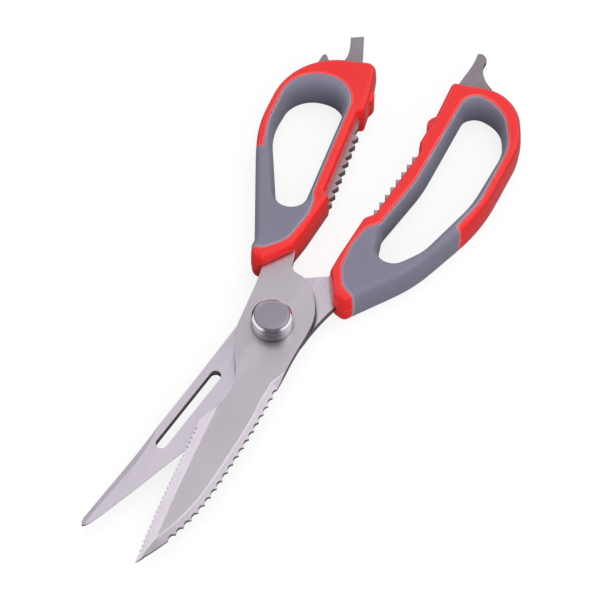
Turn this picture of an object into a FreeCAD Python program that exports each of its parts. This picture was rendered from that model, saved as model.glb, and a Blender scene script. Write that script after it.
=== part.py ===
"""Poultry shears: two crossing halves on one pivot, each a steel blade, a two-shell handle and a grip.

Millimetres.  +Z is the pivot axis and points out of the front face, +Y points along the handles and -Y
along the blades.  The origin is on the pivot axis, on the front face of the upper blade, where the
pivot nut sits.  Each half is drawn with its handle straight down the middle, with the plane where the
blades slide on each other at z = 0, and open_half() turns it to the drawn opening and into the frame.
"""

import FreeCAD, Part
import math
import os

Vector = FreeCAD.Vector
Z_AXIS = Vector(0, 0, 1)

# Driving dimensions.
REST_OPENING = 13.4          # degrees between the two halves as drawn, half to each side
BLADE_T = 3.0                # thickness of a blade
BLADE_GAP = 0.05             # running gap between the blades
HANDLE_HALF = 7.6            # half of a handle's thickness
HANDLE_REACH = 150.0         # no handle point is further from the pivot than this
JAW_HALF = 1.5               # half of a nutcracker plate's thickness
TOOL_HALF = 1.25             # half of the thickness of the driver plate and the lid lifter
CORE_HALF = 5.4              # half of the thickness of the hard core under the soft grip
CORE_INSET = 1.9             # thickness of the soft grip over the core's edges
MIN_ROUND = 0.2              # smallest corner radius left on an inset outline

# Edge sections: height above the mid plane, and how far the edge is inset there.
OUTER_SECTION = [(0.0, 0.0), (5.2, 0.35), (6.8, 0.95), (HANDLE_HALF, 1.9)]
HOLE_SECTION = [(0.0, 0.0), (3.0, -0.1), (5.2, -0.6), (6.8, -1.4), (HANDLE_HALF + 0.1, -2.3)]

# Handle outlines, before turning: corners (x, y, corner radius), counter-clockwise.
THUMB_OUTER = [
    (-12.2, 20.8, 2.2), (-4.3, 30.6, 2.0), (-2.6, 38.3, 25.0), (-0.2, 55.4, 1.4), (-2.6, 56.9, 0.6),
    (-4.3, 93.4, 0.6), (-2.0, 94.4, 1.4), (-3.1, 103.6, 20.0), (-5.7, 117.2, 3.6), (-36.8, 109.8, 25.5),
    (-36.8, 74.0, 45.0), (-18.7, 28.9, 1.5), (-19.0, 26.4, 2.0), (-16.9, 21.2, 3.0),
]
THUMB_HOLE = [
    (-7.4, 24.9, 5.5), (-10.5, 99.7, 9.2), (-30.6, 99.7, 11.0), (-32.2, 78.0, 30.0),
]
THUMB_GRIP = [
    (-42.0, 27.2, 1.0), (-14.6, 24.9, 6.0), (-7.2, 32.2, 10.0), (-4.3, 45.0, 12.0), (-4.8, 51.2, 1.6),
    (-6.3, 54.0, 2.6), (-8.4, 104.5, 11.0), (-33.6, 104.5, 13.9), (-33.6, 79.0, 25.0),
    (-30.4, 65.2, 0.8), (-42.0, 69.6, 1.0),
]
FINGER_OUTER = [
    (16.6, 19.6, 3.0), (29.5, 45.5, 60.0), (35.6, 79.5, 70.0), (30.2, 113.2, 26.0), (16.9, 130.8, 16.0),
    (-6.1, 121.3, 2.2), (-2.6, 105.0, 20.0), (-1.0, 92.4, 2.0), (1.5, 88.4, 1.5), (3.6, 57.0, 0.8),
    (1.3, 53.3, 1.6), (3.1, 35.6, 25.0), (4.2, 28.4, 2.2), (11.4, 20.0, 2.2),
]
FINGER_HOLE = [
    (17.4, 36.3, 5.2), (26.1, 54.0, 20.0), (29.1, 80.4, 45.0), (25.8, 107.1, 22.0), (17.2, 119.4, 12.6),
    (3.4, 119.4, 5.2), (9.8, 80.0, 60.0), (9.6, 53.6, 8.0),
]
FINGER_GRIP = [
    (45.0, 16.0, 1.0), (45.0, 64.9, 1.0), (31.2, 68.3, 0.8), (32.1, 82.0, 30.0), (27.7, 108.2, 20.0),
    (17.4, 121.5, 15.0), (1.4, 121.5, 6.5), (8.0, 77.0, 40.0), (8.0, 53.6, 2.5), (5.4, 49.8, 2.5),
    (5.0, 41.0, 12.0), (7.6, 30.8, 10.0), (12.6, 24.6, 5.0),
]

# Closing stops: round pads on the mating edges that meet when the shears are shut.
STOP_AT = (-2.85, 102.8)
STOP_PROUD = 0.9             # how far each pad stands past the stop point
STOP_PAD_R = 4.2
STOP_HALF = 4.6

# Nutcracker plates: first tooth tip, last tooth tip, number of teeth, then the embedded back outline.
THUMB_TEETH = ((0.3, 55.8), (-1.5, 86.4), 9)
THUMB_JAW_BACK = [
    (-3.4, 90.6), (-3.8, 92.4), (-3.9, 101.0), (-7.6, 101.0), (-7.5, 94.6), (-7.2, 92.0), (-5.9, 56.4),
    (-5.8, 49.6), (-2.4, 49.6),
]
FINGER_TEETH = ((1.1, 60.7), (-0.7, 87.8), 8)
FINGER_JAW_BACK = [
    (3.2, 56.0), (3.2, 48.8), (7.4, 48.8), (6.8, 56.0), (6.8, 76.0), (4.8, 92.0), (3.9, 101.0),
    (-0.3, 101.0), (0.2, 93.4),
]
TOOTH_DEPTH = 2.0
TOOTH_SLOPE_SHARE = 0.73     # share of the pitch that the sloping flank takes

# Driver tip: how far the taper reaches back, and half of the thickness left at the tip.
DRIVER_TAPER = 7.0
DRIVER_TIP_HALF = 0.45

# Blade outlines, before turning.
SCALER_BACK = [
    (11.0, -22.4), (10.3, -34.8), (9.2, -47.0), (7.4, -61.0), (4.7, -75.3), (0.7, -86.4), (-5.6, -97.6),
]
SCALER_RUN_OUT = (14.2, -15.6)
UPPER_EDGE = [(-7.5, -100.4), (-8.6, -85.0), (-9.0, -70.0), (-9.1, -42.4)]
UPPER_EDGE_RUN_OUT = (-9.1, -35.0)
UPPER_BEVEL = 4.3
SCALER_BEVEL = 2.3
SCALER_EDGE_Z = 1.0
SCALER_FACET = 2.65          # width of the flatter first grind, which leaves a bright line
SCALER_FACET_EDGE_Z = 2.0
SCALER_TEETH = 19
SCALER_PITCH = 3.6
SCALER_NOTCH_R = 2.1
SCALER_NOTCH_DEPTH = 0.78
EDGE_LAND = 0.3              # thickness left at a cutting edge
SERRATIONS = 27
SERRATION_PITCH = 1.92
SERRATION_LEAD = 3.8         # from the tip to the first serration
SERRATION_R = 0.5
SERRATION_INSET = 0.1
LOWER_SPINE = [(-10.6, -10.0), (-8.9, -62.0), (-8.6, -95.6)]
SPINE_GRIND = [(-11.2, -54.0), (-9.2, -64.0), (-8.8, -78.0), (-8.5, -101.0)]
LOWER_EDGE = [(-4.9, -95.4), (-1.2, -80.0), (2.7, -62.0), (7.2, -42.0), (10.2, -24.0)]
EDGE_RUN_OUT = (-6.0, -99.6)
LOWER_BEVEL = 3.4
SPINE_BEVEL = 2.2
SPINE_BEVEL_DEPTH = 1.3
PEELER_SLOT = ((-4.9, -26.6), (-4.1, -58.4))
PEELER_SLOT_R = 2.0

# Pins that lock the shells to the tang and the plates.
PIN_R = 1.25
PIN_HALF = 5.0
THUMB_PINS = [(-11.0, 29.8), (-7.8, 37.0), (-5.7, 97.8), (-20.5, 109.0)]
FINGER_PINS = [(10.0, 29.6), (8.9, 36.8), (1.8, 97.4), (-0.7, 114.4)]

# Pivot: heights are above the upper blade's front face.
SHOULDER_R = 3.5
BUSH_R = 4.5
RUNNING_GAP = 0.05
NECK_FLAT = 2.8              # from the axis to each flat of the bolt's neck
THREAD_R = 2.9
HEAD_R = 6.6
HEAD_H = 2.2
HEAD_ROUND = 1.0
DRIVER_SLOT_HALF = 0.6
NUT_R = 7.1
NUT_TOP = 6.15
NUT_CHAMFER = 0.8
NUT_CAVITY_R = 6.3
NUT_CAVITY_TOP = 1.5
THREAD_END = 5.1
DISC_R = 6.1
DISC_SEAT = 5.3
DISC_TOP = 6.25
DISC_EDGE = 0.25             # chamfer round the disc's face
THRUST_WASHER_T = 0.5
THRUST_WASHER_R = 6.1
SPRING_WASHER_T = 0.55
SPRING_WASHER_R = 5.6
SPRING_WASHER_BORE_R = 3.1


def flat(x, y):
    return Vector(x, y, 0)


def inset_corners(corners, inset):
    """The outline moved inwards, or outwards if negative, with each corner radius following."""
    moved = []
    for i, (x, y, radius) in enumerate(corners):
        here = flat(x, y)
        come = (here - flat(*corners[i - 1][:2])).normalize()
        leave = (flat(*corners[(i + 1) % len(corners)][:2]) - here).normalize()
        shift = (Z_AXIS.cross(come) + Z_AXIS.cross(leave)) * (inset / (1 + come.dot(leave)))
        left_turn = come.cross(leave).z > 0
        new_radius = radius - inset if left_turn else radius + inset
        moved.append((x + shift.x, y + shift.y, max(new_radius, MIN_ROUND)))
    return moved


def rounded_wire(corners, z=0.0):
    """Closed wire of straight runs, with a tangent arc at each corner."""
    arcs = []
    for i, (x, y, radius) in enumerate(corners):
        here = Vector(x, y, z)
        back = (Vector(*corners[i - 1][:2], z) - here).normalize()
        ahead = (Vector(*corners[(i + 1) % len(corners)][:2], z) - here).normalize()
        half_angle = back.getAngle(ahead) / 2
        reach = radius / math.tan(half_angle)
        middle = here + (back + ahead).normalize() * (radius / math.sin(half_angle) - radius)
        arcs.append((here + back * reach, middle, here + ahead * reach))
    edges = []
    for i, (start, middle, end) in enumerate(arcs):
        edges.append(Part.Arc(start, middle, end).toShape())
        edges.append(Part.LineSegment(end, arcs[(i + 1) % len(arcs)][0]).toShape())
    return Part.Wire(edges)


def prism(corners, half_height):
    """Solid on a rounded outline, centred on the mid plane."""
    face = Part.Face(rounded_wire(corners, -half_height))
    return face.extrude(Vector(0, 0, 2 * half_height))


def sectioned_half(corners, section, side):
    """Solid on one side of the mid plane (side is 1 or -1), its edge following the section."""
    wires = [rounded_wire(inset_corners(corners, inset), side * z) for z, inset in section]
    return Part.makeLoft(wires, True, True)


def plate(face, low, high):
    solid = face.extrude(Vector(0, 0, high - low))
    solid.translate(Vector(0, 0, low))
    return solid


def polygon_plate(points, low, high):
    return plate(Part.Face(Part.makePolygon([flat(*p) for p in points + points[:1]])), low, high)


def curve(points):
    spline = Part.BSplineCurve()
    spline.interpolate([flat(*p) for p in points])
    return spline.toShape()


def curve_face(*runs):
    """Flat face bounded by runs of points: two points are a straight edge, more are a smooth one."""
    edges = []
    for run in runs:
        straight = len(run) == 2
        edges.append(Part.LineSegment(flat(*run[0]), flat(*run[1])).toShape() if straight else curve(run))
    return Part.Face(Part.Wire(edges))


def cylinder(radius, low, high, x=0.0, y=0.0):
    return Part.makeCylinder(radius, high - low, Vector(x, y, low))


def bevel_cutter(edge, outer_side, width, face_z, edge_z, stations=12):
    """Cutter that leaves a bevel from face_z, at `width` from the edge, to edge_z at the edge.

    outer_side is 1 where the outside lies to the left of the edge's direction, and -1 to its right.
    """
    overrun = 1.0
    slope = (face_z - edge_z) / width
    above = overrun if face_z > edge_z else -overrun
    wires = []
    for i in range(stations + 1):
        at = edge.FirstParameter + (edge.LastParameter - edge.FirstParameter) * i / stations
        here = edge.valueAt(at)
        outwards = Z_AXIS.cross(edge.tangentAt(at)) * outer_side
        corners = [
            here - outwards * width + Vector(0, 0, face_z),
            here + outwards * overrun + Vector(0, 0, edge_z - slope * overrun),
            here + outwards * overrun + Vector(0, 0, face_z + above),
        ]
        wires.append(Part.makePolygon(corners + corners[:1]))
    return Part.makeLoft(wires, True, True)


def slot_cutter(start, end, radius, low, high):
    a = flat(*start)
    b = flat(*end)
    along = (b - a).normalize()
    side = Z_AXIS.cross(along) * radius
    edges = [
        Part.LineSegment(a + side, b + side).toShape(),
        Part.Arc(b + side, b + along * radius, b - side).toShape(),
        Part.LineSegment(b - side, a - side).toShape(),
        Part.Arc(a - side, a - along * radius, a + side).toShape(),
    ]
    return plate(Part.Face(Part.Wire(edges)), low, high)


def pins(places):
    """Identical straight pins, as separate solids of one shape."""
    return Part.makeCompound([cylinder(PIN_R, -PIN_HALF, PIN_HALF, x, y) for x, y in places])


def upper_blade():
    """Pointed blade with a wide serrated bevel on one edge and a notched fish scaler on the other."""
    outline = curve_face(
        SCALER_BACK,
        [SCALER_BACK[-1], (-6.6, -99.4), UPPER_EDGE[0]],
        UPPER_EDGE,
        [UPPER_EDGE[-1], (-5.1, -37.2)],
        [(-5.1, -37.2), (-3.3, -31.0), (-3.3, -26.4), (-4.9, -20.8)],
        [(-4.9, -20.8), (-9.4, -10.8), (-11.2, -4.0)],
        [(-11.2, -4.0), (-11.6, 12.0)],
        [(-11.6, 12.0), (-12.0, 18.0), (-14.6, 33.0)],
        [(-14.6, 33.0), (-11.9, 38.8)],
        [(-11.9, 38.8), (-5.6, 43.4)],
        [(-5.6, 43.4), (-4.8, 32.0)],
        [(-4.8, 32.0), (-3.1, 27.4), (-2.2, 24.4), (0.8, 22.6)],
        [(0.8, 22.6), (5.4, 20.6), (9.6, 15.2), (12.2, 9.0), (12.7, 1.8), (12.0, -6.0), (11.6, -11.0),
         (11.4, -16.4), SCALER_BACK[0]],
    )
    blade = plate(outline, BLADE_GAP / 2, BLADE_T)
    cutting_edge = curve(UPPER_EDGE)
    scaler_edge = curve(SCALER_BACK)
    scaler_ground = curve([SCALER_RUN_OUT] + SCALER_BACK)
    cutters = [
        bevel_cutter(curve(UPPER_EDGE + [UPPER_EDGE_RUN_OUT]), 1, UPPER_BEVEL, BLADE_T, EDGE_LAND),
        bevel_cutter(scaler_ground, 1, SCALER_BEVEL, BLADE_T, SCALER_EDGE_Z),
        bevel_cutter(scaler_ground, 1, SCALER_FACET, BLADE_T, SCALER_FACET_EDGE_Z),
        cylinder(BUSH_R, -1, BLADE_T + 1),
    ]
    for i in range(SCALER_TEETH):
        at = scaler_edge.getParameterByLength(SCALER_PITCH * (i + 0.5))
        outwards = Z_AXIS.cross(scaler_edge.tangentAt(at))
        centre = scaler_edge.valueAt(at) + outwards * (SCALER_NOTCH_R - SCALER_NOTCH_DEPTH)
        cutters.append(cylinder(SCALER_NOTCH_R, -1, BLADE_T + 1, centre.x, centre.y))
    for i in range(SERRATIONS):
        at = cutting_edge.getParameterByLength(SERRATION_LEAD + SERRATION_PITCH * i)
        inwards = cutting_edge.tangentAt(at).cross(Z_AXIS)
        centre = cutting_edge.valueAt(at) + inwards * SERRATION_INSET
        cutters.append(cylinder(SERRATION_R, -1, BLADE_T + 1, centre.x, centre.y))
    return blade.cut(cutters + pins(THUMB_PINS[:2]).Solids)


def lower_blade():
    """Round-nosed blade with a long peeler slot; its cutting bevel is on the rear face."""
    outline = curve_face(
        LOWER_EDGE,
        [LOWER_EDGE[-1], (11.4, -12.0), (11.8, 2.0)],
        [(11.8, 2.0), (12.3, 18.0), (15.0, 31.0)],
        [(15.0, 31.0), (12.0, 37.4)],
        [(12.0, 37.4), (6.4, 45.0)],
        [(6.4, 45.0), (5.4, 36.0), (3.5, 28.9)],
        [(3.5, 28.9), (-2.8, 23.7)],
        [(-2.8, 23.7), (-6.6, 18.6), (-10.0, 11.0), (-11.0, 2.0), LOWER_SPINE[0]],
        LOWER_SPINE,
        [LOWER_SPINE[-1], (-7.2, -98.2), LOWER_EDGE[0]],
    )
    blade = plate(outline, -BLADE_T, -BLADE_GAP / 2)
    cutters = [
        bevel_cutter(curve([EDGE_RUN_OUT] + LOWER_EDGE), -1, LOWER_BEVEL, -BLADE_T, -EDGE_LAND),
        bevel_cutter(curve(SPINE_GRIND), -1, SPINE_BEVEL, -BLADE_GAP / 2, -SPINE_BEVEL_DEPTH),
        slot_cutter(*PEELER_SLOT, PEELER_SLOT_R, -BLADE_T - 1, 1),
        bolt_neck(-BLADE_T - 1, 1),
    ]
    return blade.cut(cutters + pins(FINGER_PINS[:2]).Solids)


def jaw_plate(teeth, back, outward, holes):
    """Toothed nutcracker plate: shark-fin teeth that lean towards the handle's end."""
    (x0, y0), (x1, y1), count = teeth
    first = flat(x0, y0)
    step = (flat(x1, y1) - first) * (1.0 / (count - 1))
    depth = Z_AXIS.cross(step).normalize() * (TOOTH_DEPTH * outward)
    points = []
    for i in range(count + 1):
        tip = first + step * i
        valley = tip - step * TOOTH_SLOPE_SHARE + depth
        points.append((valley.x, valley.y))
        if i < count:
            points.append((tip.x, tip.y))
    ordered = points if outward > 0 else points[::-1]
    return polygon_plate(ordered + back, -JAW_HALF, JAW_HALF).cut(pins(holes))


def screwdriver_plate():
    """Plate held in the thumb handle's end: a flat driver tip and a small cap-lifter spike."""
    outline = curve_face(
        [(-12.7, 106.2), (-12.7, 119.4)],
        [(-12.7, 119.4), (-16.6, 130.9)],
        [(-16.6, 130.9), (-21.1, 128.6)],
        [(-21.1, 128.6), (-19.5, 123.8), (-18.9, 120.0), (-19.8, 115.6)],
        [(-19.8, 115.6), (-24.4, 115.0)],
        [(-24.4, 115.0), (-26.4, 117.4)],
        [(-26.4, 117.4), (-27.5, 116.9)],
        [(-27.5, 116.9), (-28.4, 108.0)],
        [(-28.4, 108.0), (-22.0, 106.2)],
        [(-22.0, 106.2), (-12.7, 106.2)],
    )
    tip = Part.LineSegment(flat(-21.1, 128.6), flat(-16.6, 130.9)).toShape()
    cutters = pins(THUMB_PINS[3:]).Solids
    for side in (1, -1):
        face_z = side * TOOL_HALF
        cutters.append(bevel_cutter(tip, 1, DRIVER_TAPER, face_z, side * DRIVER_TIP_HALF, stations=1))
    return plate(outline, -TOOL_HALF, TOOL_HALF).cut(cutters)


def lid_lifter():
    """Hooked plate held in the finger handle's end."""
    outline = curve_face(
        [(-3.8, 119.4), (-5.2, 125.8), (-5.5, 130.5), (-7.1, 140.6)],
        [(-7.1, 140.6), (-5.6, 141.6), (-3.9, 141.2), (-2.6, 139.8)],
        [(-2.6, 139.8), (-1.9, 136.6), (0.9, 132.9), (6.0, 130.2)],
        [(6.0, 130.2), (8.6, 127.0)],
        [(8.6, 127.0), (7.4, 123.2)],
        [(7.4, 123.2), (3.4, 122.3)],
        [(3.4, 122.3), (1.1, 119.2)],
        [(1.1, 119.2), (1.1, 111.2)],
        [(1.1, 111.2), (-2.4, 111.2)],
        [(-2.4, 111.2), (-3.8, 119.4)],
    )
    return plate(outline, -TOOL_HALF, TOOL_HALF).cut(pins(FINGER_PINS[3:]))


def handle_half(outer, hole, side):
    return sectioned_half(outer, OUTER_SECTION, side).cut(sectioned_half(hole, HOLE_SECTION, side))


def grip_core(outer, hole, grip_region):
    """Hard core of the loop that the soft grip is moulded over."""
    ring = prism(inset_corners(outer, CORE_INSET), CORE_HALF)
    ring = ring.cut(prism(inset_corners(hole, -CORE_INSET), CORE_HALF + 1))
    return ring.common(prism(grip_region, CORE_HALF + 1))


def stop_pad(side):
    """Pad that stands past the stop point; side is -1 for the thumb half and 1 for the finger half."""
    reach = STOP_PAD_R - STOP_PROUD
    return cylinder(STOP_PAD_R, -STOP_HALF, STOP_HALF, STOP_AT[0] + side * reach, STOP_AT[1])


def handle_shell(outer, hole, grip_region, side, stop_side, inserts):
    """Front (side 1) or rear (side -1) hard shell, with pockets for everything that it clamps."""
    half = handle_half(outer, hole, side)
    shell = half.cut(prism(grip_region, HANDLE_HALF + 1))
    corner = Vector(-HANDLE_REACH, -HANDLE_REACH, min(0, side * HANDLE_HALF))
    slab = Part.makeBox(2 * HANDLE_REACH, 2 * HANDLE_REACH, HANDLE_HALF, corner)
    pad = stop_pad(stop_side).cut(prism(grip_region, HANDLE_HALF))
    core = grip_core(outer, hole, grip_region)
    return shell.fuse([core.common(slab), pad.common(slab)]).cut(inserts).removeSplitter()


def soft_grip(outer, hole, grip_region):
    body = handle_half(outer, hole, 1).fuse(handle_half(outer, hole, -1))
    region = prism(grip_region, HANDLE_HALF + 1)
    return body.common(region).cut(grip_core(outer, hole, grip_region)).removeSplitter()


def bolt_neck(low, high):
    """Shank with two flats, which keeps the bolt from turning in the lower blade."""
    flats = Part.makeBox(2 * SHOULDER_R, 2 * NECK_FLAT, high - low, Vector(-SHOULDER_R, -NECK_FLAT, low))
    return cylinder(SHOULDER_R, low, high).common(flats)


def pivot_bolt():
    lower_front = -BLADE_T - BLADE_GAP / 2
    lower_rear = -2 * BLADE_T
    head = cylinder(HEAD_R, lower_rear - HEAD_H, lower_rear)
    rear_edge = min(head.Edges, key=lambda edge: edge.CenterOfMass.z)
    head = head.makeFillet(HEAD_ROUND, [rear_edge])
    slot = Part.makeBox(2 * HEAD_R + 2, 2 * DRIVER_SLOT_HALF, HEAD_H / 2,
                        Vector(-HEAD_R - 1, -DRIVER_SLOT_HALF, lower_rear - HEAD_H - HEAD_H / 4))
    bolt = head.cut(slot).fuse([
        bolt_neck(lower_rear, lower_front),
        cylinder(SHOULDER_R, lower_front, 0),
        cylinder(THREAD_R, 0, THREAD_END),
    ])
    return bolt.removeSplitter()


def pivot_bush():
    low = -BLADE_T + BLADE_GAP / 2
    return cylinder(BUSH_R, low, 0).cut(cylinder(SHOULDER_R + RUNNING_GAP, low - 1, 1))


def thrust_washer():
    return cylinder(THRUST_WASHER_R, BLADE_GAP / 2, THRUST_WASHER_T).cut(cylinder(THREAD_R, -1, 1))


def spring_washer():
    """Coned washer that keeps the nut from working loose."""
    low = THRUST_WASHER_T
    rise = NUT_CAVITY_TOP - low - SPRING_WASHER_T
    section = Part.makePolygon([
        Vector(SPRING_WASHER_BORE_R, 0, low + rise),
        Vector(SPRING_WASHER_R, 0, low),
        Vector(SPRING_WASHER_R, 0, low + SPRING_WASHER_T),
        Vector(SPRING_WASHER_BORE_R, 0, low + rise + SPRING_WASHER_T),
        Vector(SPRING_WASHER_BORE_R, 0, low + rise),
    ])
    return Part.Face(section).revolve(Vector(0, 0, 0), Z_AXIS, 360)


def pivot_nut():
    """Round polished nut; a cavity below hides the washers and a recess on top holds the disc."""
    low = BLADE_GAP / 2
    straight = cylinder(NUT_R, low, NUT_TOP - NUT_CHAMFER)
    top = Part.makeCone(NUT_R, NUT_R - NUT_CHAMFER, NUT_CHAMFER, Vector(0, 0, NUT_TOP - NUT_CHAMFER))
    return straight.fuse(top).removeSplitter().cut([
        cylinder(NUT_CAVITY_R, -1, NUT_CAVITY_TOP),
        cylinder(THREAD_R, 0, DISC_SEAT),
        cylinder(DISC_R, DISC_SEAT, NUT_TOP + 1),
    ])


def nut_disc():
    """Satin disc pressed into the nut over the bolt's end."""
    low = DISC_TOP - DISC_EDGE
    rim = Part.makeCone(DISC_R, DISC_R - DISC_EDGE, DISC_EDGE, Vector(0, 0, low))
    return cylinder(DISC_R, DISC_SEAT, low).fuse(rim).removeSplitter()


def open_half(shape, side):
    """Turn a half to the drawn opening (side 1 is the upper half) and move it into the frame."""
    moved = shape.copy()
    moved.rotate(Vector(0, 0, 0), Z_AXIS, side * REST_OPENING / 2)
    moved.translate(Vector(0, 0, -BLADE_T))
    return moved


def thumb_half():
    blade = upper_blade()
    jaw = jaw_plate(THUMB_TEETH, THUMB_JAW_BACK, 1, THUMB_PINS[2:3])
    driver = screwdriver_plate()
    handle_pins = pins(THUMB_PINS)
    inserts = [blade, jaw, driver] + handle_pins.Solids
    handle = (THUMB_OUTER, THUMB_HOLE, THUMB_GRIP)
    return {
        "upper_blade": blade,
        "thumb_jaw_plate": jaw,
        "screwdriver_plate": driver,
        "thumb_handle_pins": handle_pins,
        "thumb_shell_front": handle_shell(*handle, 1, -1, inserts),
        "thumb_shell_rear": handle_shell(*handle, -1, -1, inserts),
        "thumb_grip": soft_grip(*handle),
    }


def finger_half():
    blade = lower_blade()
    jaw = jaw_plate(FINGER_TEETH, FINGER_JAW_BACK, -1, FINGER_PINS[2:3])
    lifter = lid_lifter()
    handle_pins = pins(FINGER_PINS)
    inserts = [blade, jaw, lifter] + handle_pins.Solids
    handle = (FINGER_OUTER, FINGER_HOLE, FINGER_GRIP)
    return {
        "lower_blade": blade,
        "finger_jaw_plate": jaw,
        "lid_lifter": lifter,
        "finger_handle_pins": handle_pins,
        "finger_shell_front": handle_shell(*handle, 1, 1, inserts),
        "finger_shell_rear": handle_shell(*handle, -1, 1, inserts),
        "finger_grip": soft_grip(*handle),
    }


def pivot():
    turn = -REST_OPENING / 2
    parts = {
        "pivot_bolt": pivot_bolt(),
        "pivot_bush": pivot_bush(),
        "thrust_washer": thrust_washer(),
        "spring_washer": spring_washer(),
        "pivot_nut": pivot_nut(),
        "nut_disc": nut_disc(),
    }
    for shape in parts.values():
        shape.rotate(Vector(0, 0, 0), Z_AXIS, turn)
    return parts


def main():
    os.makedirs("parts", exist_ok=True)
    parts = {name: open_half(shape, 1) for name, shape in thumb_half().items()}
    parts.update({name: open_half(shape, -1) for name, shape in finger_half().items()})
    parts.update(pivot())
    for name, shape in parts.items():
        shape.exportStep(f"parts/{name}.step")
        solids = len(shape.Solids)
        print(f"{name}: {solids} solid(s), {shape.Volume / 1000:.2f} cm3, valid {shape.isValid()}")


main()
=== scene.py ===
"""Looks of the poultry shears: moulded handles, ground steel blades, polished pivot, pale studio.

Metres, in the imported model's own frame: +Z is the pivot axis, +Y runs along the handles, and the origin
is on the pivot axis at the upper blade's front face.
"""

import math

import bmesh
import bpy
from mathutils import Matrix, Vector
from mathutils.bvhtree import BVHTree


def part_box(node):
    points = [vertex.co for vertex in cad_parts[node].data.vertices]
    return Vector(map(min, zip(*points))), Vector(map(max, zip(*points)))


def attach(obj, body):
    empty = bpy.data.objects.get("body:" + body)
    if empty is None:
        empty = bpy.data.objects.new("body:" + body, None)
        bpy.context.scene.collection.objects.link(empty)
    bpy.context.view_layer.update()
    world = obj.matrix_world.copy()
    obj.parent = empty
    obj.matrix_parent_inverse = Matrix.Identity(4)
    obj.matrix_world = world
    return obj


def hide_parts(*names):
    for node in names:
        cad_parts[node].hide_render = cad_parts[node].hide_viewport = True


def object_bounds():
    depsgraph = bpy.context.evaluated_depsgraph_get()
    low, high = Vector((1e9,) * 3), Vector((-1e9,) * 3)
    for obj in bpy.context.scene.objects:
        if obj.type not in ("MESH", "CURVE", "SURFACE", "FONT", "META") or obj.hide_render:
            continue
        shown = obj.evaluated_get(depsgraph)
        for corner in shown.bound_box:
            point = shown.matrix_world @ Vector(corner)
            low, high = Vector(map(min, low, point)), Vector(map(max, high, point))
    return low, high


MM = 0.001

# Camera: the direction it looks from, in degrees, its distance, and its lens and sensor, in millimetres.
CAMERA_AZIMUTH = 28.7
CAMERA_ELEVATION = 58.0
CAMERA_DISTANCE = 0.9
CAMERA_LENS = 154.3
SENSOR_WIDTH = 36.0
CAMERA_TARGET = Vector((2.8, 15.0, -3.0)) * MM

HALF_OPENING = 6.7                # degrees that each half is turned, for the grinding marks
PLASTIC_VOXEL = 0.32 * MM         # mesh size of the moulded shells
GRIP_VOXEL = 0.32 * MM            # mesh size of the soft grips
SHELL_ROUNDING = 5                # smoothing rounds on the hard shells' edges
GRIP_ROUNDING = 9                 # smoothing rounds on the soft grips' edges
SEAM_WIDTH = 0.2 * MM             # half width of the painted highlight, a pale line where two plastics meet
SEAM_FADE = 0.75 * MM             # and how far from the other plastic it has faded out
WELD_GAP = 0.001 * MM             # points nearer than this are one point
EDGE_RADIUS = 0.12 * MM           # broken edge on ground steel
BROKEN_ANGLE = math.radians(35)   # edges sharper than this are broken
CRISP_ANGLE = math.radians(7)     # faces that meet at more than this are separate facets

# Floor: what the camera sees, what lights the object from below, and what polished parts mirror.
FLOOR_HALF = 3.0
FLOOR_DROP = 0.02 * MM            # gap under the object, so that no faces coincide
FLOOR_GLOW = 0.82                 # share of the floor's brightness that shadows can't reach
FLOOR_TONE = (0.22, 0.22, 0.222, 1)
FLOOR_BOUNCE = (0.3, 0.3, 0.31, 1)
FLOOR_MIRRORED = (0.06, 0.056, 0.062, 1)

# Pivot nut and disc, as turned.
LATHE_STEPS = 160
BOLT_RADIUS = 2.9 * MM
NUT_WALL = 0.8 * MM
NUT_CAVITY = 1.45 * MM
NUT_CHAMFER = 0.8 * MM
NUT_GROOVE = 0.22 * MM
NUT_GROOVE_AT = 0.62              # height of the groove, as a share of the nut's height
DISC_GAP = 0.18 * MM
DISC_BEVEL = 0.32 * MM
DISC_DOME = 0.05 * MM
DOME_STEPS = 8
CORNER_ROUND = 0.1 * MM

# Studio, a light tent.  What polished parts mirror: wall light from behind the object (0) to behind the
# camera (1), roof light by height, a dark patch where the camera stands and one brighter panel.
WALL_STOPS = [(0.0, 1.5), (0.16, 1.35), (0.32, 1.2), (0.78, 1.1), (0.9, 0.2), (1.0, 0.1)]
ROOF_STOPS = [(0.0, 0.4), (0.79, 0.44), (0.92, 1.0), (1.0, 1.1)]
WALL_TOP = (0.5, 0.68)            # sine of the elevation where the walls give way to the roof
CAMERA_SHADE = (0, 50, 34, 12)    # azimuth from the camera, elevation, half width, softness
CAMERA_SHADE_TONE = (0.14, 0.135, 0.14, 1)
BRIGHT_PANEL = (112, 57, 15, 8)
BRIGHT_PANEL_LIGHT = 0.9

# What soft surfaces receive: a sky that is brighter near the horizon, a key light above and behind, and a
# low fill light in front.
SKY_STOPS = [(0.0, 0.85), (0.35, 0.7), (0.7, 0.5), (1.0, 0.5)]
LIGHT_DISTANCE = 0.8
LIGHT_SIZE = 0.7
KEY_PLACE = (150, 68)             # azimuth from the camera, elevation
FILL_PLACE = (15, 26)
KEY_POWER = 2.3
FILL_POWER = 3.6

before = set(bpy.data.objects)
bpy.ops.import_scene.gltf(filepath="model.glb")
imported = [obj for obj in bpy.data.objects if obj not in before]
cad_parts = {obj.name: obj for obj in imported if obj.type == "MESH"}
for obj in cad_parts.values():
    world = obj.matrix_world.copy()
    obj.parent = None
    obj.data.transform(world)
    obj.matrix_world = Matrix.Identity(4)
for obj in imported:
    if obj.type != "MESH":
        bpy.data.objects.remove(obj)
cad_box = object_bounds()


# ---------------------------------------------------------------- node helpers


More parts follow.
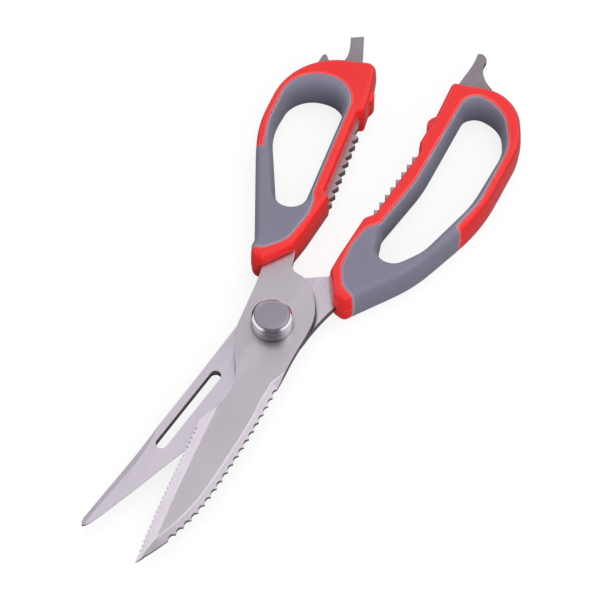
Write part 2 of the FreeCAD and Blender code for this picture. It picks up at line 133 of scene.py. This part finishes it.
class Nodes:
    """A node tree that is put together by name."""

    def __init__(self, tree):
        self.tree = tree

    def add(self, kind, inputs=None, **settings):
        node = self.tree.nodes.new(kind)
        for key, value in settings.items():
            setattr(node, key, value)
        for key, value in (inputs or {}).items():
            self.feed(node.inputs[key], value)
        return node

    def feed(self, socket, value):
        if isinstance(value, bpy.types.NodeSocket):
            self.tree.links.new(value, socket)
        else:
            socket.default_value = value

    def mix(self, factor, first, second, blend="MIX"):
        node = self.add("ShaderNodeMix", data_type="RGBA", blend_type=blend)
        for index, value in ((0, factor), (6, first), (7, second)):
            self.feed(node.inputs[index], value)
        return node.outputs[2]

    def math(self, operation, *values):
        return self.add("ShaderNodeMath", dict(enumerate(values)), operation=operation).outputs[0]

    def less(self, share):
        """What the share leaves of 1."""
        return self.math("SUBTRACT", 1.0, share)

    def times(self, value, share):
        """The value times a share, either of them a number or a socket."""
        return self.math("MULTIPLY", value, share)

    def dot(self, first, second):
        node = self.add("ShaderNodeVectorMath", {0: first, 1: second}, operation="DOT_PRODUCT")
        return node.outputs["Value"]

    def step(self, value, low, high):
        """0 below low, 1 above high, and a smooth rise between."""
        inputs = {"Value": value, "From Min": low, "From Max": high}
        return self.add("ShaderNodeMapRange", inputs, interpolation_type="SMOOTHSTEP").outputs[0]

    def ramp(self, value, stops):
        """Grey by value, from (position, grey) stops; greys above 1 are allowed."""
        node = self.add("ShaderNodeValToRGB", {0: value})
        elements = node.color_ramp.elements
        while len(elements) < len(stops):
            elements.new(0.5)
        for element, (position, grey) in zip(elements, stops):
            element.position = position
            element.color = (grey, grey * 0.985, grey * 1.005, 1)
        return node.outputs[0]


class Shader(Nodes):
    """A Principled material."""

    def __init__(self, name):
        self.material = bpy.data.materials.new(name)
        self.material.use_nodes = True
        super().__init__(self.material.node_tree)
        self.surface = self.tree.nodes["Principled BSDF"]

    def set(self, **inputs):
        for key, value in inputs.items():
            self.feed(self.surface.inputs[key.replace("_", " ")], value)

    def place(self, scale, turn=0.0):
        """Object coordinates, turned about Z by `turn` degrees and scaled by (x, y, z) per metre."""
        coordinates = self.add("ShaderNodeTexCoord").outputs["Object"]
        turning = {"Vector": coordinates, "Rotation": (0, 0, math.radians(turn))}
        turned = self.add("ShaderNodeMapping", turning).outputs[0]
        return self.add("ShaderNodeMapping", {"Vector": turned, "Scale": scale}).outputs[0]

    def noise(self, where, detail=3.0, rough=0.55):
        inputs = {"Vector": where, "Scale": 1.0, "Detail": detail, "Roughness": rough}
        return self.add("ShaderNodeTexNoise", inputs).outputs["Fac"]

    def spread(self, value, low, high):
        """Map 0.3..0.7, where most noise lies, onto low..high."""
        inputs = {"Value": value, "From Min": 0.3, "From Max": 0.7, "To Min": low, "To Max": high}
        return self.add("ShaderNodeMapRange", inputs).outputs[0]

    def bump(self, height, distance, strength=1.0, normal=None):
        inputs = {"Height": height, "Distance": distance, "Strength": strength}
        if normal is not None:
            inputs["Normal"] = normal
        return self.add("ShaderNodeBump", inputs).outputs[0]

    def soft_edges(self, radius):
        return self.add("ShaderNodeBevel", {"Radius": radius}, samples=6).outputs[0]

    def edge_mask(self, soft_normal):
        """1 on softened edges, which are painted paler, partly as wear and partly as a painted highlight; 0
        on open faces; from how far the softened normal leans from the true one.
        """
        true_normal = self.add("ShaderNodeNewGeometry").outputs["Normal"]
        start, full = PALE_EDGE_LEAN
        inputs = {"Value": self.dot(soft_normal, true_normal), "From Min": start, "From Max": full}
        return self.add("ShaderNodeMapRange", inputs).outputs[0]

    def leaning(self, upright, level):
        """1 where the face stands steeper than `upright`, 0 where it lies flatter than `level`."""
        normal = self.add("ShaderNodeNewGeometry").outputs["True Normal"]
        height = self.math("ABSOLUTE", self.add("ShaderNodeSeparateXYZ", {0: normal}).outputs["Z"])
        return self.less(self.step(height, upright, level))

    def nook_shade_mask(self, reach, low, high, lean):
        """Mask of painted shade, from ambient occlusion: 1 in the corner against a part that stands within
        reach on the side of `lean`, 0 in the open.
        """
        normal = self.add("ShaderNodeNewGeometry").outputs["Normal"]
        leaning = self.add("ShaderNodeVectorMath", {0: normal, 1: lean}, operation="ADD").outputs[0]
        towards = self.add("ShaderNodeVectorMath", {0: leaning}, operation="NORMALIZE").outputs[0]
        inputs = {"Distance": reach, "Normal": towards}
        open_share = self.add("ShaderNodeAmbientOcclusion", inputs, samples=8).outputs["AO"]
        return self.less(self.step(open_share, low, high))


def colour(red, green, blue):
    """Linear colour from 0..255 screen values."""
    linear = [((v / 255 + 0.055) / 1.055) ** 2.4 if v > 10 else v / 255 / 12.92 for v in (red, green, blue)]
    return (*linear, 1.0)


def shaded(tone, share):
    """The tone with its light multiplied by share."""
    return [value * share for value in tone[:3]] + [1.0]


# ---------------------------------------------------------------- materials

BEVEL_LEAN = (0.9, 0.97)          # upright part of the normal: ground bevels lie below this, faces above
WALL_LEAN = (0.1, 0.4)            # and sheared walls below this
# Steep sheared walls: partly a duller, rougher steel, partly painted shade that darkens their colour.
WALL_TONE = colour(122, 112, 118)
RINGS_PER_METRE = 5200.0          # tool marks on turned parts
# Painted shade: a dark line painted on steel where a part stands close by, found by ambient occlusion.
NOOK_REACH = 1.8 * MM
NOOK_OPEN = (0.4, 0.84)           # shares of open sky between which the painted line of shade fades out
PAINTED_NOOK_SHADE = colour(40, 30, 42)
# Pale tones of softened steel edges: partly bright ground edges, partly painted highlight.
BRIGHT_EDGE = colour(236, 232, 238)
DULL_EDGE = colour(225, 220, 226)
PALE_EDGE_LEAN = (0.99, 0.8)           # softened normal against the true one: where the pale edge (wear and painted highlight) starts and is full
TURNED_EDGE = 0.08 * MM           # widths over which edges look softened
MOULDED_EDGE = 0.5 * MM

# Patterns, in noise cycles per metre across, along and through.
GRIND_LINES = (9000, 110, 9000)
POLISH_STREAKS = (1400, 28, 1400)
SMUDGES = (70, 45, 70)
TUMBLED_GRAIN = (2600, 2600, 2600)
TUMBLED_PATCHES = (160, 160, 160)
TURNED_HAZE = (260, 260, 260)
SINTERED_GRAIN = (1800, 1800, 1800)
PLASTIC_SHADES = (55, 55, 55)
RUB_MARKS = (420, 90, 420)
RUB_TURN = 35.0                   # degrees
FLOOR_CLOUDS = (6, 6, 6)

# Relief of those patterns.
LINE_DEPTH = 0.004 * MM
STREAK_DEPTH = 0.02 * MM
TUMBLED_DEPTH = 0.012 * MM


def ground_steel(name, tone, turn, painted_bevel_shade, painted_nook_shade, painted_shade_lean, roughness):
    """Stainless steel ground lengthwise: fine lines, broader polishing streaks and faint smudges.

    Sheared walls are duller, rougher steel, and their darker colour is partly painted shade.  The bevel shade
    share (0..1) sets how much darker the bevels are painted, as painted shade by their tilt, and the nook
    shade share and lean set how dark a painted line of shade lies against parts that stand on the steel, and
    on which side.
    """
    s = Shader(name)
    soft = s.soft_edges(EDGE_RADIUS)
    lines = s.noise(s.place(GRIND_LINES, turn), detail=2.0)
    streaks = s.noise(s.place(POLISH_STREAKS, turn), detail=3.0)
    smudges = s.noise(s.place(SMUDGES, turn), detail=4.0)
    base = s.mix(s.spread(streaks, 0.0, 0.5), tone, shaded(tone, 0.86))
    base = s.mix(s.spread(smudges, 0.0, 0.35), base, shaded(tone, 1.16))
    # Pale softened edges, partly a painted highlight.
    base = s.mix(s.times(s.edge_mask(soft), 0.6), base, BRIGHT_EDGE)
    bevel = s.leaning(*BEVEL_LEAN)
    wall = s.leaning(*WALL_LEAN)
    # Painted shade: bevels are darkened by their tilt, the way the light falls on them.
    base = s.mix(s.times(bevel, painted_bevel_shade), base, shaded(tone, 0.4))
    # Steep walls turn duller, rougher and darker in colour; the darker colour is partly painted shade.
    base = s.mix(wall, base, WALL_TONE)
    # Painted shade: a dark line against parts that stand close by, leaning to one side like a cast shadow.
    nook_shade_mask = s.nook_shade_mask(NOOK_REACH, *NOOK_OPEN, painted_shade_lean)
    base = s.mix(s.times(nook_shade_mask, painted_nook_shade), base, PAINTED_NOOK_SHADE)
    rough = s.math("ADD", s.spread(lines, roughness - 0.06, roughness + 0.06), s.spread(smudges, -0.04, 0.05))
    rough = s.math("ADD", rough, s.times(wall, 0.2))
    relief = s.bump(lines, LINE_DEPTH, 0.5, soft)
    relief = s.bump(streaks, STREAK_DEPTH, 0.25, relief)
    metal = s.less(s.times(wall, 0.7))
    s.set(Base_Color=base, Metallic=metal, Roughness=rough, Anisotropic=0.45, Normal=relief)
    return s.material


def stamped_steel(name, tone):
    """Plainer steel of the small plates: tumbled, with an even matt grain."""
    s = Shader(name)
    soft = s.soft_edges(EDGE_RADIUS)
    grain = s.noise(s.place(TUMBLED_GRAIN), detail=3.0)
    patches = s.noise(s.place(TUMBLED_PATCHES), detail=3.0)
    base = s.mix(s.spread(patches, 0.0, 0.6), tone, shaded(tone, 0.78))
    # Pale softened edges, partly a painted highlight.
    base = s.mix(s.times(s.edge_mask(soft), 0.5), base, DULL_EDGE)
    s.set(Base_Color=base, Metallic=0.75, Roughness=s.spread(grain, 0.42, 0.55),
          Normal=s.bump(grain, TUMBLED_DEPTH, 0.35, soft))
    return s.material


def turned_steel(name, tone, roughness, ring_depth):
    """Steel turned on a lathe: fine rings about the pivot axis."""
    s = Shader(name)
    place = s.add("ShaderNodeSeparateXYZ", {"Vector": s.place((1, 1, 1))})
    squares = [s.math("POWER", place.outputs[axis], 2.0) for axis in ("X", "Y")]
    radius = s.math("SQRT", s.math("ADD", *squares))
    ringed = {"W": s.times(radius, RINGS_PER_METRE), "Scale": 1.0, "Detail": 3.0}
    rings = s.add("ShaderNodeTexNoise", ringed, noise_dimensions="1D").outputs["Fac"]
    haze = s.noise(s.place(TURNED_HAZE), detail=3.0)
    base = s.mix(s.spread(haze, 0.0, 0.4), tone, shaded(tone, 0.82))
    s.set(Base_Color=base, Metallic=1.0, Roughness=s.spread(rings, roughness * 0.75, roughness * 1.25),
          Normal=s.bump(rings, ring_depth, 0.5, s.soft_edges(TURNED_EDGE)))
    return s.material


def moulded_plastic(name, tone, worn_and_highlight, seam_highlight_share, roughness, grain_size, grain_depth, coat):
    """Injection-moulded plastic: spark-eroded grain, slight shade changes, paler edges, partly rubbed and
    partly painted highlight, and a painted seam highlight.
    """
    s = Shader(name)
    grain = s.noise(s.place((1 / grain_size,) * 3), detail=2.0, rough=0.6)
    shade = s.noise(s.place(PLASTIC_SHADES), detail=3.0)
    marks = s.noise(s.place(RUB_MARKS, RUB_TURN), detail=4.0, rough=0.7)
    base = s.mix(s.spread(shade, 0.0, 0.5), tone, shaded(tone, 0.88))
    soft = s.soft_edges(MOULDED_EDGE)
    seam = s.add("ShaderNodeAttribute", attribute_name="seam").outputs["Fac"]
    # Paler edges, partly wear and partly painted highlight, and a painted highlight along the seam with the
    # other plastic.
    pale = s.math("MAXIMUM", s.times(s.edge_mask(soft), 0.7), s.times(seam, seam_highlight_share))
    base = s.mix(pale, base, worn_and_highlight)
    rough = s.math("ADD", s.spread(grain, roughness - 0.04, roughness + 0.04), s.spread(marks, -0.03, 0.04))
    s.set(Base_Color=base, Roughness=rough, Specular_IOR_Level=0.5, Coat_Weight=coat, Coat_Roughness=0.25,
          Sheen_Weight=0.2, Sheen_Roughness=0.4, Normal=s.bump(grain, grain_depth, 0.5))
    return s.material


def bronze(name):
    """Sintered bronze: a matt grain between two shades."""
    s = Shader(name)
    grain = s.noise(s.place(SINTERED_GRAIN), detail=3.0)
    base = s.mix(s.spread(grain, 0.0, 1.0), colour(196, 146, 84), colour(160, 112, 62))
    s.set(Base_Color=base, Metallic=1.0, Roughness=s.spread(grain, 0.3, 0.45))
    return s.material


def pale_floor(name):
    """Near-white floor: bright to the camera, dimmer to what it lights and mirrors, clear from below."""
    s = Shader(name)
    cloudy = s.spread(s.noise(s.place(FLOOR_CLOUDS)), 0.0, 1.0)
    tint = s.mix(cloudy, FLOOR_TONE, shaded(FLOOR_TONE, 0.955))
    s.set(Base_Color=tint, Roughness=0.9, Specular_IOR_Level=0.1)
    glow = s.add("ShaderNodeEmission", {"Color": (1, 1, 1, 1), "Strength": FLOOR_GLOW}).outputs[0]
    seen = s.add("ShaderNodeAddShader", {0: s.surface.outputs[0], 1: glow}).outputs[0]
    chosen = s.add("ShaderNodeBsdfDiffuse", {"Color": FLOOR_BOUNCE}).outputs[0]
    mirrored = s.add("ShaderNodeBsdfDiffuse", {"Color": FLOOR_MIRRORED}).outputs[0]
    clear = s.add("ShaderNodeBsdfTransparent").outputs[0]
    path = s.add("ShaderNodeLightPath").outputs
    below = s.add("ShaderNodeNewGeometry").outputs["Backfacing"]
    for share, shader in (
        (path["Is Glossy Ray"], mirrored),
        (path["Is Camera Ray"], seen),
        (below, clear),
    ):
        chosen = s.add("ShaderNodeMixShader", {0: share, 1: chosen, 2: shader}).outputs[0]
    s.feed(s.tree.nodes["Material Output"].inputs["Surface"], chosen)
    return s.material


# ---------------------------------------------------------------- pieces


def dress(obj, material):
    """Give an object one material and no other."""
    obj.data.materials.clear()
    obj.data.materials.append(material)


def dress_cad(node, material, edge=None):
    """Keep a CAD node's own shape; an edge width adds a real broken edge to it."""
    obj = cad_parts[node]
    weld = obj.modifiers.new("weld", "WELD")
    weld.merge_threshold = WELD_GAP
    if edge:
        bevel = obj.modifiers.new("broken_edge", "BEVEL")
        bevel.width = edge
        bevel.segments = 2
        bevel.limit_method = "ANGLE"
        bevel.angle_limit = BROKEN_ANGLE
    split = obj.modifiers.new("crisp_facets", "EDGE_SPLIT")
    split.split_angle = CRISP_ANGLE
    obj.modifiers.new("true_facets", "WEIGHTED_NORMAL").weight = 50
    dress(obj, material)


def new_piece(name, mesh, body, slot, material, *nodes):
    """A visual piece that rides on a body and stands in for the named CAD nodes."""
    piece = bpy.data.objects.new(name, mesh)
    bpy.context.scene.collection.objects.link(piece)
    dress(piece, material)
    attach(piece, body)
    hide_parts(*nodes)
    return piece


def mark_seam(mesh, neighbours):
    """Store on each point how near it is to the other plastic: 1 at the seam, 0 away from it."""
    trees = []
    for node in neighbours:
        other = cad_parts[node].data
        corners = [vertex.co for vertex in other.vertices]
        trees.append(BVHTree.FromPolygons(corners, [list(face.vertices) for face in other.polygons]))
    marks = mesh.attributes.new("seam", "FLOAT", "POINT")
    for vertex, mark in zip(mesh.vertices, marks.data):
        gaps = [tree.find_nearest(vertex.co, SEAM_FADE)[3] for tree in trees]
        gap = min((gap for gap in gaps if gap is not None), default=SEAM_FADE)
        mark.value = min(1.0, (SEAM_FADE - gap) / (SEAM_FADE - SEAM_WIDTH))


def moulded(node, neighbours, body, slot, material, voxel, rounds):
    """An even mesh over a CAD solid, with every edge rounded the way a moulding's edges are."""
    source = bpy.data.objects.new(node + "_source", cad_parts[node].data.copy())
    bpy.context.scene.collection.objects.link(source)
    remesh = source.modifiers.new("even_mesh", "REMESH")
    remesh.mode = "VOXEL"
    remesh.voxel_size = voxel
    soften = source.modifiers.new("soften", "SMOOTH")
    soften.factor = 0.5
    soften.iterations = rounds
    mesh = bpy.data.meshes.new_from_object(source.evaluated_get(bpy.context.evaluated_depsgraph_get()))
    bpy.data.objects.remove(source)
    mesh.shade_smooth()
    mark_seam(mesh, neighbours)
    return new_piece(node + "_moulded", mesh, body, slot, material, node)


def lathe(name, profile, closed):
    """Mesh turned about the pivot axis from (radius, height) points, whose run may close on itself."""
    shape = bmesh.new()
    points = [shape.verts.new((r, 0, z)) for r, z in profile]
    run = points + points[:1] if closed else points
    edges = [shape.edges.new(pair) for pair in zip(run, run[1:])]
    bmesh.ops.spin(shape, geom=points + edges, axis=(0, 0, 1), cent=(0, 0, 0), angle=2 * math.pi,
                   steps=LATHE_STEPS, use_merge=True)
    bmesh.ops.remove_doubles(shape, verts=shape.verts, dist=WELD_GAP)
    bmesh.ops.recalc_face_normals(shape, faces=shape.faces)
    mesh = bpy.data.meshes.new(name)
    shape.to_mesh(mesh)
    shape.free()
    mesh.shade_smooth()
    return mesh


def rounded_profile(points, radius, steps=4):
    """Points (r, z) with each corner replaced by a small arc-like run of the given radius."""
    result = []
    for i, point in enumerate(points):
        here = Vector(point)
        back = Vector(points[i - 1]) - here
        ahead = Vector(points[(i + 1) % len(points)]) - here
        reach = min(radius, back.length * 0.45, ahead.length * 0.45)
        start = here + back.normalized() * reach
        end = here + ahead.normalized() * reach
        for step in range(steps + 1):
            t = step / steps
            result.append(tuple(start * (1 - t) ** 2 + here * 2 * t * (1 - t) + end * t ** 2))
    return result


def pivot_nut(material):
    """Polished nut: a turned groove round the wall, a wide chamfer and a recess for the disc."""
    low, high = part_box("pivot_nut")
    seat_low, seat_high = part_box("nut_disc")
    wall, top = high.x, high.z
    cavity = wall - NUT_WALL
    groove = low.z + NUT_GROOVE_AT * (top - low.z)
    points = [
        (BOLT_RADIUS, low.z + NUT_CAVITY), (cavity, low.z + NUT_CAVITY), (cavity, low.z), (wall, low.z),
        (wall, groove - NUT_GROOVE), (wall - NUT_GROOVE, groove), (wall, groove + NUT_GROOVE),
        (wall, top - NUT_CHAMFER), (wall - NUT_CHAMFER, top), (seat_high.x + DISC_GAP, top),
        (seat_high.x, top - DISC_GAP), (seat_high.x, seat_low.z), (BOLT_RADIUS, seat_low.z),
    ]
    mesh = lathe("pivot_nut_turned", rounded_profile(points, CORNER_ROUND), closed=True)
    return new_piece("pivot_nut_turned", mesh, "lower_half", "polished_steel", material, "pivot_nut")


def nut_disc(material):
    """Satin disc: a faint dome inside a bevelled rim."""
    low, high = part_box("nut_disc")
    rim = high.x - DISC_BEVEL
    points = [(0, low.z), (high.x, low.z), (high.x, high.z - DISC_BEVEL), (rim, high.z - DISC_DOME)]
    for i in range(1, DOME_STEPS + 1):
        r = rim * (1 - i / DOME_STEPS)
        points.append((r, high.z - DISC_DOME * (r / rim) ** 2))
    mesh = lathe("nut_disc_turned", points, closed=False)
    return new_piece("nut_disc_turned", mesh, "lower_half", "satin_disc", material, "nut_disc")


# ---------------------------------------------------------------- build


def build_steel():
    """Blades, plates, pins and washers keep their CAD shapes."""
    # Upper blade: painted shade round the foot of the nut, and no painted shade on its bevels.
    upper = ground_steel("upper_blade_steel", colour(212, 205, 213), HALF_OPENING,
                         painted_bevel_shade=0.0, painted_nook_shade=0.6, painted_shade_lean=(0, 0, 0), roughness=0.34)
    # Lower blade: painted shade on its bevels, and a painted shadow on the +X side of the upper blade's head,
    # as if lit from -X.
    lower = ground_steel("lower_blade_steel", colour(224, 216, 227), -HALF_OPENING,
                         painted_bevel_shade=0.8, painted_nook_shade=1.0, painted_shade_lean=(-0.7, 0.3, 0), roughness=0.3)
    jaw = stamped_steel("jaw_plate_steel", colour(186, 175, 181))
    tool = stamped_steel("tool_plate_steel", colour(156, 148, 156))
    dress_cad("upper_blade", upper, EDGE_RADIUS)
    dress_cad("lower_blade", lower, EDGE_RADIUS)
    for node in ("finger_jaw_plate", "thumb_jaw_plate"):
        dress_cad(node, jaw, EDGE_RADIUS)
    for node in ("screwdriver_plate", "lid_lifter"):
        dress_cad(node, tool, EDGE_RADIUS)
    inner = turned_steel("inner_steel", colour(178, 176, 180), 0.3, 0.006 * MM)
    for node in ("thrust_washer", "spring_washer", "finger_handle_pins", "thumb_handle_pins"):
        dress_cad(node, inner)
    dress_cad("pivot_bush", bronze("bush_bronze"))


def build_pivot():
    """The bolt keeps its CAD shape; the nut and its disc are turned anew."""
    polished = turned_steel("polished_steel", colour(226, 220, 228), 0.1, 0.002 * MM)
    satin = turned_steel("satin_disc_steel", colour(172, 164, 174), 0.38, 0.004 * MM)
    dress_cad("pivot_bolt", polished)
    pivot_nut(polished)
    nut_disc(satin)


def build_handles():
    """Red shells and grey grips, each moulded anew over its CAD solid."""
    # Second colour: the pale tone of rubbed edges and painted highlights; the seam share: how strong the
    # painted seam highlight is.
    red = moulded_plastic("red_shell_plastic", colour(238, 34, 34), colour(255, 132, 132), seam_highlight_share=0.45,
                          roughness=0.34, grain_size=0.2 * MM, grain_depth=0.012 * MM, coat=0.1)
    grey = moulded_plastic("grey_grip_rubber", colour(125, 123, 141), colour(190, 168, 182), seam_highlight_share=0.7,
                           roughness=0.6, grain_size=0.16 * MM, grain_depth=0.03 * MM, coat=0.0)
    for side, body in (("thumb", "upper_half"), ("finger", "lower_half")):
        grip = f"{side}_grip"
        shells = [f"{side}_shell_front", f"{side}_shell_rear"]
        for shell in shells:
            moulded(shell, [grip], body, "red_shell", red, PLASTIC_VOXEL, SHELL_ROUNDING)
        moulded(grip, shells, body, "grey_grip", grey, GRIP_VOXEL, GRIP_ROUNDING)


def build_stage():
    """A wide floor just under the object."""
    z = cad_box[0].z - FLOOR_DROP
    corners = [(x * FLOOR_HALF, y * FLOOR_HALF, z) for x, y in ((-1, -1), (1, -1), (1, 1), (-1, 1))]
    floor_mesh = bpy.data.meshes.new("floor")
    floor_mesh.from_pydata(corners, [], [(0, 1, 2, 3)])
    floor = bpy.data.objects.new("floor", floor_mesh)
    bpy.context.scene.collection.objects.link(floor)
    dress(floor, pale_floor("pale_floor"))


def direction(azimuth, elevation):
    """Unit vector towards a viewer at that azimuth and elevation, in degrees."""
    a, e = math.radians(azimuth), math.radians(elevation)
    return Vector((math.sin(a) * math.cos(e), -math.cos(a) * math.cos(e), math.sin(e)))


def area_light(name, azimuth, elevation, power):
    """Square light aimed at the object, hidden from mirrored rays; the azimuth counts from the camera's."""
    data = bpy.data.lights.new(name, "AREA")
    data.shape = "SQUARE"
    data.size = LIGHT_SIZE
    data.energy = power
    light = bpy.data.objects.new(name, data)
    towards = direction(CAMERA_AZIMUTH + azimuth, elevation)
    light.location = (cad_box[0] + cad_box[1]) / 2 + towards * LIGHT_DISTANCE
    light.rotation_mode = "QUATERNION"
    light.rotation_quaternion = (-towards).to_track_quat("-Z", "Y")
    light.visible_glossy = False
    bpy.context.scene.collection.objects.link(light)


def panel(n, way, azimuth, elevation, half_width, softness):
    """1 inside a round patch of the sky, 0 outside; the azimuth is measured from the camera's."""
    centre = direction(CAMERA_AZIMUTH + azimuth, elevation)
    outer, inner = (math.cos(math.radians(half_width + side * softness)) for side in (1, -1))
    return n.step(n.dot(way, centre), outer, inner)


def build_light():
    """Two area lights, and a sky that polished parts mirror as a light tent."""
    area_light("key", *KEY_PLACE, KEY_POWER)
    area_light("fill", *FILL_PLACE, FILL_POWER)
    world = bpy.data.worlds.new("studio")
    bpy.context.scene.world = world
    world.use_nodes = True
    n = Nodes(world.node_tree)
    way = n.add("ShaderNodeTexCoord").outputs["Generated"]
    height = n.add("ShaderNodeSeparateXYZ", {0: way}).outputs["Z"]
    facing = n.math("MULTIPLY_ADD", n.dot(way, direction(CAMERA_AZIMUTH, 0)), 0.5, 0.5)
    mirrored = n.mix(n.step(height, *WALL_TOP), n.ramp(facing, WALL_STOPS), n.ramp(height, ROOF_STOPS))
    mirrored = n.mix(panel(n, way, *CAMERA_SHADE), mirrored, CAMERA_SHADE_TONE)
    bright = n.times(panel(n, way, *BRIGHT_PANEL), BRIGHT_PANEL_LIGHT)
    mirrored = n.mix(1.0, mirrored, bright, "ADD")
    glossy = n.add("ShaderNodeLightPath").outputs["Is Glossy Ray"]
    n.feed(n.tree.nodes["Background"].inputs["Color"], n.mix(glossy, n.ramp(height, SKY_STOPS), mirrored))


def build_camera():
    """The photograph's view."""
    data = bpy.data.cameras.new("camera")
    data.sensor_width = SENSOR_WIDTH
    data.lens = CAMERA_LENS
    camera = bpy.data.objects.new("camera", data)
    back = direction(CAMERA_AZIMUTH, CAMERA_ELEVATION)
    camera.location = CAMERA_TARGET + back * CAMERA_DISTANCE
    camera.rotation_mode = "QUATERNION"
    camera.rotation_quaternion = (-back).to_track_quat("-Z", "Y")
    bpy.context.scene.collection.objects.link(camera)
    bpy.context.scene.camera = camera


build_steel()
build_pivot()
build_handles()
build_stage()
build_light()
build_camera()
bpy.context.scene.view_settings.view_transform = "Standard"
